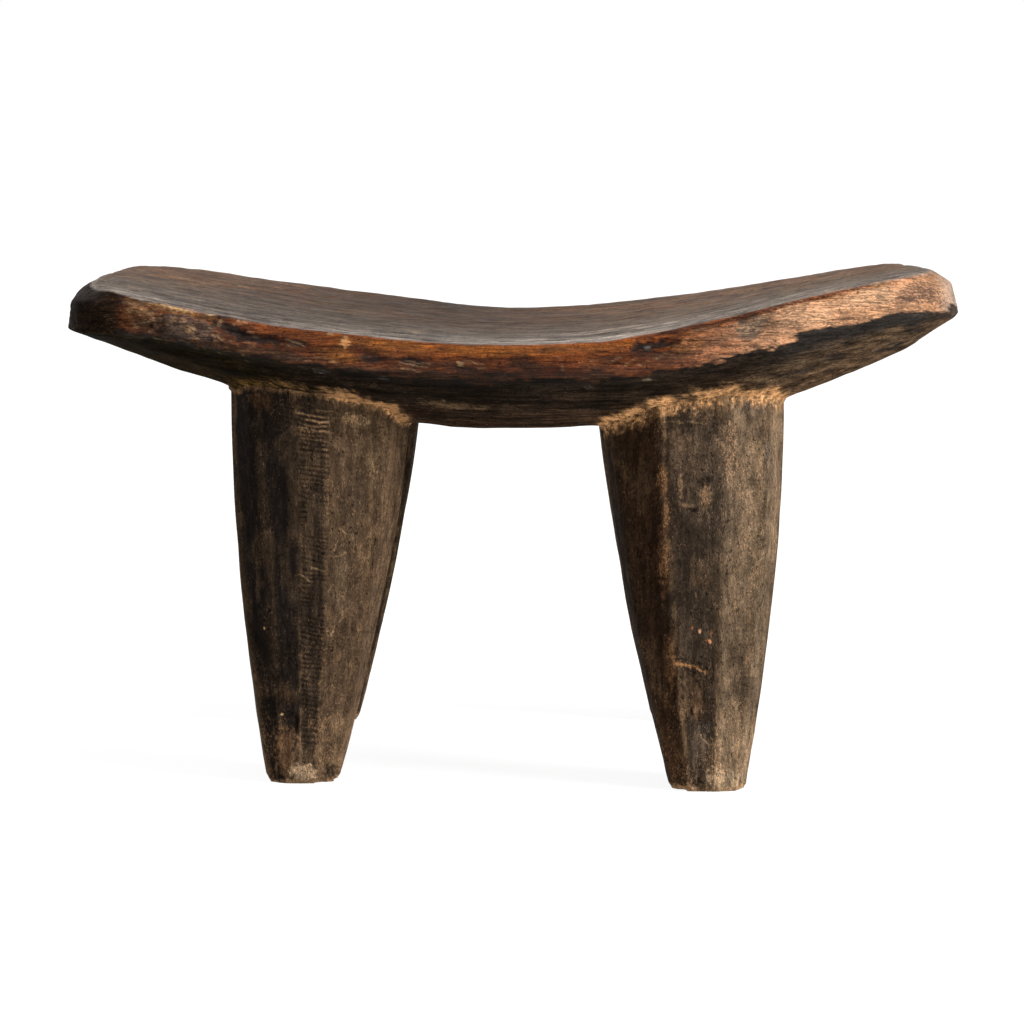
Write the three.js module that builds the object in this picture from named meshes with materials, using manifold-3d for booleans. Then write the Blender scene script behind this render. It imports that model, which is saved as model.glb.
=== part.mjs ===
// A low four-legged stool or headrest, carved from one block of hardwood.
//
// The block is divided into five named regions: the dished seat and its four tapered legs.
// Millimetres, +Z up. The origin is on the ground below the middle of the seat. +X runs along
// the seat and -Y is the front.

import * as THREE from "three";
import { mergeVertices } from "three/addons/utils/BufferGeometryUtils.js";
import Module from "manifold-3d";

const wasm = await Module();
wasm.setup();

// The seat, from above: a rounded rectangle with slightly bowed ends.
const SEAT_HALF_LENGTH = 232;
const SEAT_HALF_DEPTH = 125;

// The seat, from the front: a dish whose ends rise above its middle. It was carved by eye, so its
// left half is straighter at the rear, and its front corners stand higher than its rear ones.
const DISH_FLOOR_Z = 234;
const DISH_RISE = 26;
const DISH_REACH = 212;
const DISH_SOFTNESS = 20;
const DISH_POWER_RIGHT = 1.45;
const DISH_POWER_FRONT_LEFT = 1.5;
const DISH_POWER_REAR_LEFT = 1.0;
const FRONT_RIGHT_LIFT = 11;
const FRONT_LEFT_LIFT = 3;
const REAR_DROOP = 1;
const CROSS_HOLLOW = 2;

// The edge face around the seat is deeper on the right, and deepens again at the left end.
const EDGE_HEIGHT = 17;
const EDGE_HEIGHT_GAIN = 4;

// The underside is level between the legs and climbs to the thin ends.
const BELLY_Z = 188;
const BELLY_REACH = 212;
const BELLY_RISE_LEFT = 44;
const BELLY_RISE_RIGHT = 45;
const BELLY_POWER_LEFT = 1.9;
const BELLY_POWER_RIGHT = 2.6;

// The seat's levels: how far each lies inside the widest outline, how square its corners are, and
// how much its ends bow outwards.
const RIM = { insetX: 12, insetY: 5, squareness: 10, bow: 0.03 };
const SHOULDER = { insetX: 4, insetY: 1, squareness: 11, bow: 0.02 };
const WIDEST = { insetX: 0, insetY: 0, squareness: 12, bow: 0.015 };
const CHAMFER = { insetX: 0.5, insetY: 17, squareness: 12, bow: 0.015 };
const SOLE = { insetX: 4, insetY: 37, squareness: 9, bow: 0.02 };

// The legs taper from the seat to small flat feet.
const LEG_TAPER_HEIGHT = 215;
const LEG_TAPER_POWER = 1.65;
const LEG_COLUMN_TOP = 232;
const LEG_ROWS = 14;
const LEG_SQUARENESS = 2.8;
const FOOT_CHAMFER_HEIGHT = 2;
const FOOT_CHAMFER = 1.5;
const LEG_SEAT_GAP = 0.3;

// Each leg has flat adze-cut facets that meet at ridges. The ridges are directions around the
// leg in degrees, counted from +X towards +Y.
const LEGS = [
  {
    name: "leg_front_left",
    top: { x: -99, y: -66, halfWidth: 50, halfDepth: 41 },
    foot: { x: -111, y: -78, halfWidth: 20.5, halfDepth: 17 },
    ridges: [-157, -132, -107, -77, -45, -16, 27, 62, 112, 157],
  },
  {
    name: "leg_front_right",
    top: { x: 94, y: -65, halfWidth: 50, halfDepth: 41 },
    foot: { x: 102.5, y: -96, halfWidth: 21.5, halfDepth: 19 },
    ridges: [-162, -137, -108, -76, -40, -14, 22, 60, 118, 156],
  },
  {
    name: "leg_rear_left",
    top: { x: -98, y: 66, halfWidth: 49, halfDepth: 40 },
    foot: { x: -107.5, y: 84, halfWidth: 20, halfDepth: 18 },
    ridges: [-154, -118, -62, -24, 19, 48, 81, 110, 139, 166],
  },
  {
    name: "leg_rear_right",
    top: { x: 94, y: 65, halfWidth: 48.5, halfDepth: 40 },
    foot: { x: 101, y: 88, halfWidth: 20.5, halfDepth: 18 },
    ridges: [-158, -120, -65, -26, 16, 43, 72, 104, 131, 160],
  },
];

const WOOD = {
  seat: { color: 0x4a2d1b, roughness: 0.5 },
  leg: { color: 0x3b2d22, roughness: 0.7 },
};

const { lerp, smoothstep, degToRad } = THREE.MathUtils;

// Distance from the middle, rounded off so that the dish has no crease there.
function softDistance(x) {
  return Math.hypot(x, DISH_SOFTNESS) - DISH_SOFTNESS;
}

function rimHeight(x, y) {
  const front = 0.5 - (0.5 * y) / SEAT_HALF_DEPTH;
  const leftPower = lerp(DISH_POWER_REAR_LEFT, DISH_POWER_FRONT_LEFT, front);
  const power = x < 0 ? leftPower : DISH_POWER_RIGHT;
  const dish = DISH_RISE * (softDistance(x) / softDistance(DISH_REACH)) ** power;
  const rightLift = FRONT_RIGHT_LIFT * smoothstep(x, 30, 190) * front;
  const leftLift = FRONT_LEFT_LIFT * smoothstep(-x, 130, 210) * front;
  const droop = REAR_DROOP * smoothstep(Math.abs(x), 180, 225) * (1 - front);
  return DISH_FLOOR_Z + dish + rightLift + leftLift - droop;
}

function edgeHeight(x) {
  return EDGE_HEIGHT + EDGE_HEIGHT_GAIN * (smoothstep(x, 0, 110) + smoothstep(-x, 170, 225));
}

function bellyHeight(x) {
  const rise = x < 0 ? BELLY_RISE_LEFT : BELLY_RISE_RIGHT;
  const power = x < 0 ? BELLY_POWER_LEFT : BELLY_POWER_RIGHT;
  return BELLY_Z + rise * (Math.abs(x) / BELLY_REACH) ** power;
}

// Maps a point of the unit square to the plan outline of one level of the seat.
function planPoint(u, v, level) {
  const ring = Math.max(Math.abs(u), Math.abs(v));
  const n = level.squareness;
  const round = ring === 0 ? 1 : (Math.abs(u / ring) ** n + Math.abs(v / ring) ** n) ** (-1 / n);
  const y = (SEAT_HALF_DEPTH - level.insetY) * v * round;
  const bow = 1 - level.bow * (y / SEAT_HALF_DEPTH) ** 2;
  const x = (SEAT_HALF_LENGTH - level.insetX) * u * round * bow;
  return [x, y];
}

// The seat's levels from top to bottom, each with its outline and its height at a plan point.
// A sole lowered by the gap makes the cutter that trims the tops of the legs.
function seatLevels(topZ, soleDrop) {
  const widestHeight = (x, y) => rimHeight(x, y) - edgeHeight(x);
  return [
    { ...RIM, height: topZ },
    { ...SHOULDER, height: (x, y) => rimHeight(x, y) - 0.35 * edgeHeight(x) },
    { ...WIDEST, height: (x, y) => widestHeight(x, y) - soleDrop },
    { ...CHAMFER, height: (x, y) => lerp(widestHeight(x, y), bellyHeight(x), 0.55) - soleDrop },
    { ...SOLE, height: (x) => bellyHeight(x) - soleDrop },
  ];
}

// A box is bent into the seat: its top becomes the dish, its sides the edge face and the bevel
// below it, and its bottom the underside.
function seatGeometry(levels, lengthSegments, depthSegments) {
  const steps = levels.length - 1;
  const box = new THREE.BoxGeometry(2, 2, 2, lengthSegments, depthSegments, steps);
  const position = box.getAttribute("position");
  for (let i = 0; i < position.count; i += 1) {
    const u = position.getX(i);
    const v = position.getY(i);
    const row = Math.round(((1 - position.getZ(i)) / 2) * steps);
    const level = levels[row];
    const [x, y] = planPoint(u, v, level);
    position.setXYZ(i, x, y, level.height(x, y));
  }
  return box;
}

function dishHeight(x, y) {
  const across = 1 - (y / (SEAT_HALF_DEPTH - RIM.insetY)) ** 2;
  const along = 1 - (x / (SEAT_HALF_LENGTH - RIM.insetX)) ** 2;
  return rimHeight(x, y) - CROSS_HOLLOW * Math.max(across, 0) * Math.max(along, 0);
}

// A prism with one corner for each ridge, bent into the tapering leg.
function legGeometry(leg) {
  const sides = leg.ridges.length;
  const column = new THREE.CylinderGeometry(1, 1, 1, sides, LEG_ROWS);
  column.rotateX(Math.PI / 2);
  const position = column.getAttribute("position");
  for (let i = 0; i < position.count; i += 1) {
    const px = position.getX(i);
    const py = position.getY(i);
    const row = Math.round((position.getZ(i) + 0.5) * LEG_ROWS);
    const z = row === 0 ? 0 : lerp(FOOT_CHAMFER_HEIGHT, LEG_COLUMN_TOP, (row - 1) / (LEG_ROWS - 1));
    const isCentre = Math.hypot(px, py) < 0.5;
    const turn = (Math.atan2(py, px) / (2 * Math.PI) + 1) % 1;
    const ridge = leg.ridges[Math.round(turn * sides) % sides];
    const [x, y] = legPoint(leg, z, ridge, isCentre ? 0 : 1, row === 0 ? FOOT_CHAMFER : 0);
    position.setXYZ(i, x, y, z);
  }
  return column;
}

function legPoint(leg, z, ridge, reach, inset) {
  const { top, foot } = leg;
  const rise = Math.min(z / LEG_TAPER_HEIGHT, 1);
  const swell = 1 - (1 - rise) ** LEG_TAPER_POWER;
  const halfWidth = lerp(foot.halfWidth, top.halfWidth, swell) - inset;
  const halfDepth = lerp(foot.halfDepth, top.halfDepth, swell) - inset;
  const cos = Math.cos(degToRad(ridge));
  const sin = Math.sin(degToRad(ridge));
  const n = LEG_SQUARENESS;
  const radius = reach * (Math.abs(cos) ** n + Math.abs(sin) ** n) ** (-1 / n);
  const x = lerp(foot.x, top.x, rise) + halfWidth * radius * cos;
  const y = lerp(foot.y, top.y, rise) + halfDepth * radius * sin;
  return [x, y];
}

function solidFrom(geometry) {
  geometry.deleteAttribute("normal");
  geometry.deleteAttribute("uv");
  const merged = mergeVertices(geometry, 1e-4);
  const vertProperties = new Float32Array(merged.getAttribute("position").array);
  const triVerts = new Uint32Array(merged.getIndex().array);
  return new wasm.Manifold(new wasm.Mesh({ numProp: 3, vertProperties, triVerts }));
}

function geometryFrom(solid) {
  const mesh = solid.getMesh();
  const geometry = new THREE.BufferGeometry();
  geometry.setAttribute("position", new THREE.Float32BufferAttribute(mesh.vertProperties, 3));
  geometry.setIndex(new THREE.Uint32BufferAttribute(mesh.triVerts, 1));
  geometry.computeVertexNormals();
  return geometry;
}

function woodMesh(name, solid, wood) {
  const material = new THREE.MeshStandardMaterial({ ...wood, metalness: 0 });
  const mesh = new THREE.Mesh(geometryFrom(solid), material);
  mesh.name = name;
  return mesh;
}

const carving = new THREE.Group();
carving.add(woodMesh("seat", solidFrom(seatGeometry(seatLevels(dishHeight, 0), 40, 16)), WOOD.seat));

const seatCutter = solidFrom(seatGeometry(seatLevels(() => 300, LEG_SEAT_GAP), 40, 16));
for (const leg of LEGS) {
  const solid = solidFrom(legGeometry(leg)).subtract(seatCutter);
  carving.add(woodMesh(leg.name, solid, WOOD.leg));
}

export default carving;
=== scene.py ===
import itertools
import math

import bpy
import numpy as np
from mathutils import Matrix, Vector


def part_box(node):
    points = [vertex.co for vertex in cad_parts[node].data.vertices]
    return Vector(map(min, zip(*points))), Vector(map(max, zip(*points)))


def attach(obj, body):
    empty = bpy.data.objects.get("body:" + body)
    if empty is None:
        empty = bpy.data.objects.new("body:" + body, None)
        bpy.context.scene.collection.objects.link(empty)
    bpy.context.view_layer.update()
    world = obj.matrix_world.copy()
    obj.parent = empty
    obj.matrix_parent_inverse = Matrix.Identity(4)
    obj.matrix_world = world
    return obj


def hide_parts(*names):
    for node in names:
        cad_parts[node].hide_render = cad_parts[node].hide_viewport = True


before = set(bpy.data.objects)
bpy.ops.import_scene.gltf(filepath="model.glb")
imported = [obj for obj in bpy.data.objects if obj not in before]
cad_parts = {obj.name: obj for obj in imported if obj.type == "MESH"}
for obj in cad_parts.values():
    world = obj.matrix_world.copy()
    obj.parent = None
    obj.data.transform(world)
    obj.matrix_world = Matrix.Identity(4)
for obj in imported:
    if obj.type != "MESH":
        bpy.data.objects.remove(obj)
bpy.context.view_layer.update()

# Lengths in this script are millimetres until a mesh is made, except for lights, floor and camera.
MM = 0.001

# ---- Small numeric helpers ----

GRADIENTS = np.random.default_rng(11).normal(size=(1024, 3))
JITTER = np.random.default_rng(12).random((1024, 3))


def smooth(low, high, value):
    """0 below low, 1 above high and a smooth step between them; low may be the larger one."""
    t = np.clip((value - low) / (high - low), 0, 1)
    return t * t * (3 - 2 * t)


def blend(a, b, amount):
    return a + (b - a) * amount


def bump(value, centre, width):
    """A soft hill of height 1 at centre that is gone about two widths away."""
    return np.exp(-(((value - centre) / width) ** 2))


def hashed(cells, seed):
    """A table row for each integer cell."""
    mixed = cells[:, 0] * 73856093 ^ cells[:, 1] * 19349663 ^ cells[:, 2] * 83492791
    return (mixed ^ (seed * 2654435 + 977)) % 1024


def noise(points, size, seed):
    """Smooth noise of about -1 to 1. size is the size of its lumps in mm, one number or three."""
    scaled = points / np.asarray(size, float)
    cell = np.floor(scaled).astype(np.int64)
    local = scaled - cell
    fade = local ** 3 * (local * (local * 6 - 15) + 10)
    total = np.zeros(len(points))
    for corner in itertools.product((0, 1), repeat=3):
        offset = np.array(corner)
        gradient = GRADIENTS[hashed(cell + offset, seed)]
        weight = np.prod(np.where(offset == 1, fade, 1 - fade), axis=1)
        total += weight * np.sum(gradient * (local - offset), axis=1)
    return total * 1.1


def layered(points, size, seed, octaves=3):
    """Noise with finer and weaker noise added to it."""
    size = np.asarray(size, float)
    total = np.zeros(len(points))
    for octave in range(octaves):
        total += noise(points, size / 2 ** octave, seed + octave) / 2 ** octave
    return total


def scoops(points, size, seed):
    """Overlapping shallow hollows of about that size, 0 in their middles and 1 on the ridges."""
    scaled = points / np.asarray(size, float)
    cell = np.floor(scaled).astype(np.int64)
    nearest = np.full(len(points), 9.0)
    for corner in itertools.product((-1, 0, 1), repeat=3):
        near = cell + np.array(corner)
        centre = near + JITTER[hashed(near, seed)]
        nearest = np.minimum(nearest, np.sum((scaled - centre) ** 2, axis=1))
    return np.clip(nearest, 0, 1)


def vertex_normals(points, quads):
    a, b, c, d = (points[quads[:, k]] for k in range(4))
    face = np.cross(c - a, d - b)
    total = np.zeros_like(points)
    for k in range(4):
        for axis in range(3):
            total[:, axis] += np.bincount(quads[:, k], face[:, axis], len(points))
    return total / (np.linalg.norm(total, axis=1)[:, None] + 1e-12)


def relax(points, quads, rounds, amount=0.5):
    """Rounds off a mesh by moving each point towards the middle of its neighbours."""
    ends = np.concatenate([quads[:, [k, (k + 1) % 4]] for k in range(4)])
    ends = ends[ends[:, 0] != ends[:, 1]]
    count = np.bincount(ends[:, 0], minlength=len(points)) + np.bincount(ends[:, 1], minlength=len(points))
    count = np.maximum(count, 1)
    for _ in range(rounds):
        for axis in range(3):
            value = points[:, axis]
            total = np.bincount(ends[:, 0], value[ends[:, 1]], len(points))
            total += np.bincount(ends[:, 1], value[ends[:, 0]], len(points))
            points[:, axis] = blend(value, total / count, amount)
    return points


# ---- The seat's form, the same one that the CAD model has ----

SEAT_GRID = (300, 88, 26, 28)
SEAT_SOFTENING = 3
SEAT_HALF_LENGTH = float(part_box("seat")[1].x) / MM
SEAT_HALF_DEPTH = float(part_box("seat")[1].y) / MM
DISH_FLOOR_Z = 234
DISH_RISE = 26
DISH_REACH = 212
DISH_SOFTNESS = 20
DISH_POWER_RIGHT = 1.45
DISH_POWER_FRONT_LEFT = 1.5
DISH_POWER_REAR_LEFT = 1.0
FRONT_RIGHT_LIFT = 11
FRONT_LEFT_LIFT = 3
CROSS_HOLLOW = 2
EDGE_HEIGHT = 17
EDGE_HEIGHT_GAIN = 4
BELLY_Z = 188
BELLY_REACH = 212
BELLY_RISE_LEFT = 44
BELLY_RISE_RIGHT = 45
BELLY_POWER_LEFT = 1.9
BELLY_POWER_RIGHT = 2.6

# Inset in x, inset in y, squareness and bow of the seat's outline at five levels, from the rim
# down to the sole, and how far down the side each level lies. The edge face ends at the third.
LEVELS = np.array([
    [12.0, 5, 10, 0.030],
    [4.0, 1, 11, 0.020],
    [0.0, 0, 12, 0.015],
    [0.5, 17, 12, 0.015],
    [4.0, 37, 9, 0.020],
])
LEVEL_AT = np.array([0, 0.11, 0.29, 0.64, 1])
EDGE_FOOT = LEVEL_AT[2]


def soft_distance(x):
    return np.hypot(x, DISH_SOFTNESS) - DISH_SOFTNESS


def rim_height(x, y):
    front = 0.5 - 0.5 * y / SEAT_HALF_DEPTH
    power = np.where(x < 0, blend(DISH_POWER_REAR_LEFT, DISH_POWER_FRONT_LEFT, front), DISH_POWER_RIGHT)
    dish = DISH_RISE * (soft_distance(x) / soft_distance(DISH_REACH)) ** power
    right_lift = FRONT_RIGHT_LIFT * smooth(30, 190, x) * front
    left_lift = FRONT_LEFT_LIFT * smooth(130, 210, -x) * front
    droop = smooth(180, 225, np.abs(x)) * (1 - front)
    return DISH_FLOOR_Z + dish + right_lift + left_lift - droop


def edge_height(x):
    return EDGE_HEIGHT + EDGE_HEIGHT_GAIN * (smooth(0, 110, x) + smooth(170, 225, -x))


def belly_height(x):
    rise = np.where(x < 0, BELLY_RISE_LEFT, BELLY_RISE_RIGHT)
    power = np.where(x < 0, BELLY_POWER_LEFT, BELLY_POWER_RIGHT)
    return BELLY_Z + rise * (np.abs(x) / BELLY_REACH) ** power


def plan_point(u, v, down):
    """The plan position of a point of the unit square, on the outline a share of the way down."""
    inset_x, inset_y, square, bow = (np.interp(down, LEVEL_AT, LEVELS[:, k]) for k in range(4))
    ring = np.maximum(np.abs(u), np.abs(v))
    safe = np.where(ring > 0, ring, 1)
    total = np.abs(u / safe) ** square + np.abs(v / safe) ** square
    turn = np.maximum(total, 1e-3) ** (-1 / square)
    y = (SEAT_HALF_DEPTH - inset_y) * v * turn
    x = (SEAT_HALF_LENGTH - inset_x) * u * turn * (1 - bow * (y / SEAT_HALF_DEPTH) ** 2)
    return x, y


def side_height(x, y, down):
    rim = rim_height(x, y)
    edge = edge_height(x)
    belly = belly_height(x)
    steps = [rim, rim - 0.35 * edge, rim - edge, blend(rim - edge, belly, 0.55), belly]
    height = steps[0]
    for k in range(1, len(steps)):
        share = np.clip((down - LEVEL_AT[k - 1]) / (LEVEL_AT[k] - LEVEL_AT[k - 1]), 0, 1)
        height = blend(height, steps[k], share)
    return height


def underside_height(x, y):
    """Height of the seat's underside or bevel above a plan point."""
    inset = SEAT_HALF_DEPTH - np.abs(y)
    down = np.interp(inset, LEVELS[2:, 1], LEVEL_AT[2:])
    return side_height(x, y, down)


def box_grid(nu, nv, edge_rows, bevel_rows):
    """The unit box as quads. Returns u, v, the level down the side from 0 to 1, and the quads."""
    us = np.linspace(-1, 1, nu + 1)
    vs = np.linspace(-1, 1, nv + 1)
    edge_levels = np.linspace(0, EDGE_FOOT, edge_rows + 1)
    levels = np.append(edge_levels, np.linspace(EDGE_FOOT, 1, bevel_rows + 1)[1:])
    nw = edge_rows + bevel_rows
    index = {}
    rows = []

    def point(i, j, k):
        key = (i, j, k)
        if key not in index:
            index[key] = len(rows)
            rows.append((us[i], vs[j], levels[k]))
        return index[key]

    quads = []
    for i in range(nu):
        for j in range(nv):
            quads.append([point(i, j, 0), point(i + 1, j, 0), point(i + 1, j + 1, 0), point(i, j + 1, 0)])
            quads.append([point(i, j, nw), point(i, j + 1, nw), point(i + 1, j + 1, nw), point(i + 1, j, nw)])
    loop = [(i, 0) for i in range(nu)] + [(nu, j) for j in range(nv)]
    loop += [(i, nv) for i in range(nu, 0, -1)] + [(0, j) for j in range(nv, 0, -1)]
    for n, (i, j) in enumerate(loop):
        i2, j2 = loop[(n + 1) % len(loop)]
        for k in range(nw):
            quads.append([point(i, j, k), point(i, j, k + 1), point(i2, j2, k + 1), point(i2, j2, k)])
    u, v, down = np.array(rows).T
    return u, v, down, np.array(quads)


def add_object(name, data):
    thing = bpy.data.objects.new(name, data)
    bpy.context.scene.collection.objects.link(thing)
    return thing


def make_mesh(name, points, quads, colours, values):
    """A mesh object with a paint colour and named values stored on its points."""
    mesh = bpy.data.meshes.new(name)
    mesh.from_pydata(points * MM, [], quads.tolist())
    paint = mesh.attributes.new("paint", "FLOAT_COLOR", "POINT")
    rgba = np.ones((len(points), 4), np.float32)
    rgba[:, :3] = colours
    paint.data.foreach_set("color", rgba.ravel())
    for key, value in values.items():
        mesh.attributes.new(key, "FLOAT", "POINT").data.foreach_set("value", value.astype(np.float32))
    mesh.shade_smooth()
    mesh.validate()
    return add_object(name, mesh)


# ---- Colours of the wood, in linear light ----

SOOT_AND_SHADE = np.array([0.0115, 0.0075, 0.0047])
GOLD = np.array([0.280, 0.151, 0.066])
UMBER = np.array([0.026, 0.0145, 0.0082])
BROWN = np.array([0.056, 0.034, 0.0185])
RED_BROWN = np.array([0.064, 0.0165, 0.0040])
AMBER = np.array([0.122, 0.031, 0.0045])
COPPER = np.array([0.290, 0.153, 0.083])
DISH_RED = np.array([0.090, 0.049, 0.029])
TAN = np.array([0.200, 0.122, 0.064])
GREY_BROWN = np.array([0.076, 0.057, 0.043])
GREY = np.array([0.150, 0.125, 0.105])


class Paint:
    """Colours of a mesh's points, built up in layers."""

    def __init__(self, count, colour):
        self.colours = np.tile(colour, (count, 1)).astype(float)

    def layer(self, colour, mask):
        mask = np.clip(mask, 0, 1)[:, None]
        self.colours = blend(self.colours, colour, mask)

    def shade(self, factor):
        self.colours *= factor[:, None]


# ---- Seat ----

def spot(x, t, place, size, ragged):
    """A patch on the seat's side around place (x, t), 1 inside and fading out at its ragged rim."""
    distance = np.hypot((x - place[0]) / size[0], (t - place[1]) / size[1])
    return smooth(1.2, 0.7, distance + ragged)


def stroke(a, b, start, end, width, ragged):
    """A thin line from start to end, 1 along its middle and gone about a width away."""
    span_a = end[0] - start[0]
    span_b = end[1] - start[1]
    share = ((a - start[0]) * span_a + (b - start[1]) * span_b) / (span_a ** 2 + span_b ** 2)
    share = np.clip(share, 0, 1)
    distance = np.hypot(a - start[0] - share * span_a, b - start[1] - share * span_b) / width
    return smooth(1.2, 0.3, distance + 1.1 * ragged)


# On the seat's side, t is 0 at the rim, 1 at the foot of the edge face and 2 at the sole. One step
# of it is about SIDE_HEIGHT (mm) on the edge face.
SIDE_HEIGHT = 18
PALE = (0.200, 0.125, 0.066)
BLACK = (0.009, 0.006, 0.004)

# Marks of wear on the seat's front, and a few painted glints: place (x in mm, t), half sizes (mm, t),
# colour, strength and how far the wood stands out (mm).
FRONT_MARKS = [
    ((-189, 0.45), (9, 0.42), (0.07, 0.029, 0.01), 0.85, 0.5),
    ((-190, 0.3), (5, 0.12), (0.13, 0.064, 0.024), 0.6, 0.5),
    ((-170, 0.16), (24, 0.09), (0.1, 0.04, 0.01), 0.85, 0.2),
    ((-172, 0.1), (9, 0.05), (0.252, 0.162, 0.076), 0.85, 0.4),
    ((-153, 0.05), (3, 0.05), (0.252, 0.162, 0.081), 0.8, 0.3),
    ((-163, 0.62), (18, 0.34), (0.048, 0.031, 0.022), 0.9, 1.9),
    ((-164, 0.57), (2.6, 0.13), (0.18, 0.11, 0.055), 0.75, 0.4),
    ((-146, 0.3), (9, 0.14), (0.012, 0.008, 0.005), 0.9, -1.0),
    ((-130, 0.46), (17, 0.18), (0.008, 0.006, 0.005), 0.9, -2.0),
    ((-138, 0.84), (17, 0.13), (0.074, 0.03, 0.011), 0.75, 0.9),
    ((-110, 0.48), (7, 0.12), (0.014, 0.009, 0.006), 0.75, -0.5),
    ((-93, 0.04), (1.6, 0.05), (0.24, 0.15, 0.07), 0.8, 0.3),
    ((-85, 0.26), (2.4, 0.15), (0.21, 0.125, 0.055), 0.75, 0.6),
    ((-90, 0.62), (14, 0.2), (0.11, 0.04, 0.009), 0.7, 0.1),
    ((-71, 0.63), (6, 0.16), (0.012, 0.007, 0.005), 0.85, -0.6),
    ((-60, 0.22), (22, 0.2), (0.116, 0.038, 0.006), 0.8, 0.1),
    ((-50, 0.6), (6, 0.14), (0.014, 0.007, 0.005), 0.8, -0.5),
    ((-26.4, 0.6), (1.3, 0.07), (0.22, 0.135, 0.068), 0.75, 0.6),
    ((-24, 0.74), (5, 0.08), (0.012, 0.007, 0.005), 0.85, -0.5),
    ((-8, 0.2), (34, 0.17), (0.134, 0.042, 0.006), 0.8, 0.1),
    ((4, 0.52), (7, 0.2), (0.018, 0.007, 0.003), 0.8, -0.6),
    ((40, 0.2), (26, 0.12), (0.09, 0.031, 0.006), 0.6, 0.1),
    ((71, 0.32), (14, 0.14), (0.007, 0.005, 0.004), 0.95, -1.9),
    ((69, 0.33), (1.8, 0.06), (0.095, 0.084, 0.07), 0.7, 0.6),
    ((50, 0.52), (11, 0.1), (0.03, 0.012, 0.005), 0.6, -0.3),
    ((75, 0.86), (30, 0.12), (0.112, 0.036, 0.014), 0.75, 0.3),
    ((90, 0.5), (9, 0.18), (0.15, 0.062, 0.022), 0.6, 0.3),
    ((108, 0.74), (16, 0.16), (0.19, 0.076, 0.036), 0.6, 0.2),
    ((122, 0.38), (9, 0.28), (0.1, 0.078, 0.056), 0.75, -0.4),
    ((120, 0.07), (58, 0.07), (0.048, 0.014, 0.005), 0.95, -0.2),
    ((150, 0.5), (16, 0.28), (0.33, 0.198, 0.117), 0.6, 0.2),
    ((182, 0.35), (14, 0.24), (0.34, 0.21, 0.124), 0.6, 0.2),
    ((186, 0.04), (7, 0.05), (0.36, 0.22, 0.11), 0.7, 0.2),
    ((205, 0.42), (8, 0.26), (0.12, 0.066, 0.044), 0.7, -0.3),
    # Painted highlights: the next four marks are small pale glints along the top of the bevel.
    ((-97, 1.12), (5, 0.03), (0.052, 0.048, 0.042), 0.6, 0.2),
    ((-66, 1.1), (3, 0.02), (0.05, 0.045, 0.039), 0.5, 0.1),
    ((39, 1.16), (5, 0.015), (0.07, 0.052, 0.036), 0.5, 0.1),
    ((69, 1.11), (3, 0.02), (0.085, 0.064, 0.044), 0.5, 0.1),
    ((-33, 1.52), (14, 0.08), (0.09, 0.055, 0.028), 0.6, 0.2),
]

# Scratches on the seat's front: from and to (x in mm, t), half width (mm), colour and strength.
FRONT_STROKES = [
    ((-198, 0.25), (-190, 0.16), 0.6, PALE, 0.54),
    ((-196, 0.5), (-184, 0.36), 0.6, PALE, 0.48),
    ((-190, 0.72), (-181, 0.6), 0.52, PALE, 0.48),
    ((-186, 0.18), (-165, 0.08), 0.52, PALE, 0.48),
    ((-182, 0.86), (-150, 1.00), 0.68, BLACK, 0.54),
    ((-160, 0.2), (-133, 0.28), 0.68, BLACK, 0.54),
    ((-115, 0.38), (-106, 0.5), 0.52, PALE, 0.48),
    ((-116, 0.58), (-107, 0.44), 0.45, PALE, 0.41),
    ((-106, 0.9), (-97, 0.76), 0.45, PALE, 0.48),
    ((-98, 0.72), (-90, 0.84), 0.45, PALE, 0.34),
    ((-59, 0.63), (-42, 0.66), 0.41, PALE, 0.54),
    ((-58, 0.71), (-43, 0.73), 0.38, PALE, 0.48),
    ((-56, 0.84), (-46, 0.85), 0.38, PALE, 0.41),
    ((-57, 0.67), (-45, 0.69), 0.38, BLACK, 0.54),
    ((-24, 0.53), (-15, 0.56), 0.41, PALE, 0.54),
    ((-23, 0.67), (-14, 0.69), 0.38, PALE, 0.41),
    ((24, 0.42), (27, 0.98), 0.45, PALE, 0.41),
    ((50, 0.62), (56, 0.48), 0.45, PALE, 0.41),
    ((57, 0.72), (64, 0.56), 0.45, PALE, 0.48),
    ((64, 0.8), (70, 0.66), 0.45, PALE, 0.41),
    ((72, 0.66), (79, 0.54), 0.45, PALE, 0.41),
    ((84, 0.42), (90, 0.26), 0.45, PALE, 0.48),
    ((92, 0.2), (104, 0.12), 0.45, PALE, 0.48),
    ((96, 0.36), (101, 0.22), 0.45, PALE, 0.48),
    ((82, 0.6), (88, 0.74), 0.45, BLACK, 0.34),
    ((112, 0.72), (130, 0.8), 0.45, PALE, 0.41),
    ((138, 0.22), (150, 0.16), 0.45, PALE, 0.41),
    ((160, 0.74), (172, 0.66), 0.45, PALE, 0.41),
]

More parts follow.
